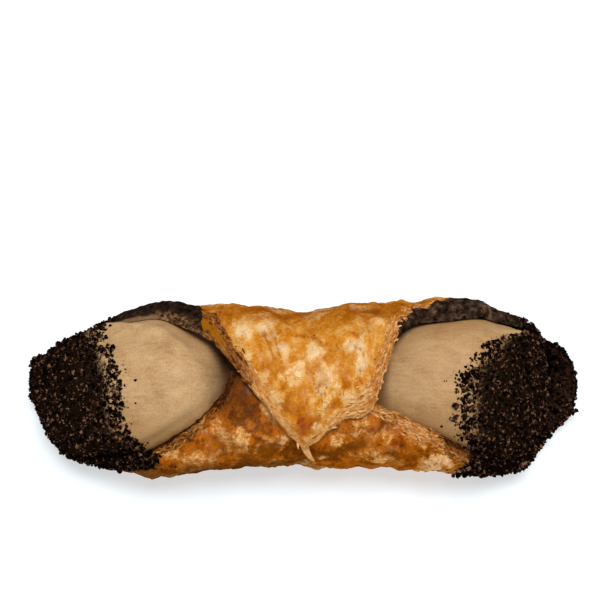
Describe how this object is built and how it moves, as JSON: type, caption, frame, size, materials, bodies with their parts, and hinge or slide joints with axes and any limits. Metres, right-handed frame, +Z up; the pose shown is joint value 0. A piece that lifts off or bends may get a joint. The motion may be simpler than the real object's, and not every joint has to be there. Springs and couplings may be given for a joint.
{
  "type": "filled puff-pastry cannoli",
  "caption": "Square of puff pastry rolled cornerwise round a swelling cream filling, its ends dipped in dark crumbs, lying on its side as a dessert.",
  "frame": {"origin": "middle of the footprint, on the surface that the roll lies on", "axes": "+X along the roll, +Y towards its back, +Z up; the seam with the lapping corners faces up and towards -Y"},
  "size_m": [0.1464, 0.045, 0.0462],
  "materials": {
    "baked_pastry": "amber glazed puff pastry with pale raised flakes and dark chocolate on its rims and ends",
    "piped_cream": "soft coffee-coloured cream, wiped smooth",
    "dark_crumbs": "coarse dry chocolate biscuit crumbs"
  },
  "bodies": {
    "root": {"pastry": "baked_pastry", "cream": "piped_cream"}
  },
  "joints": []
}
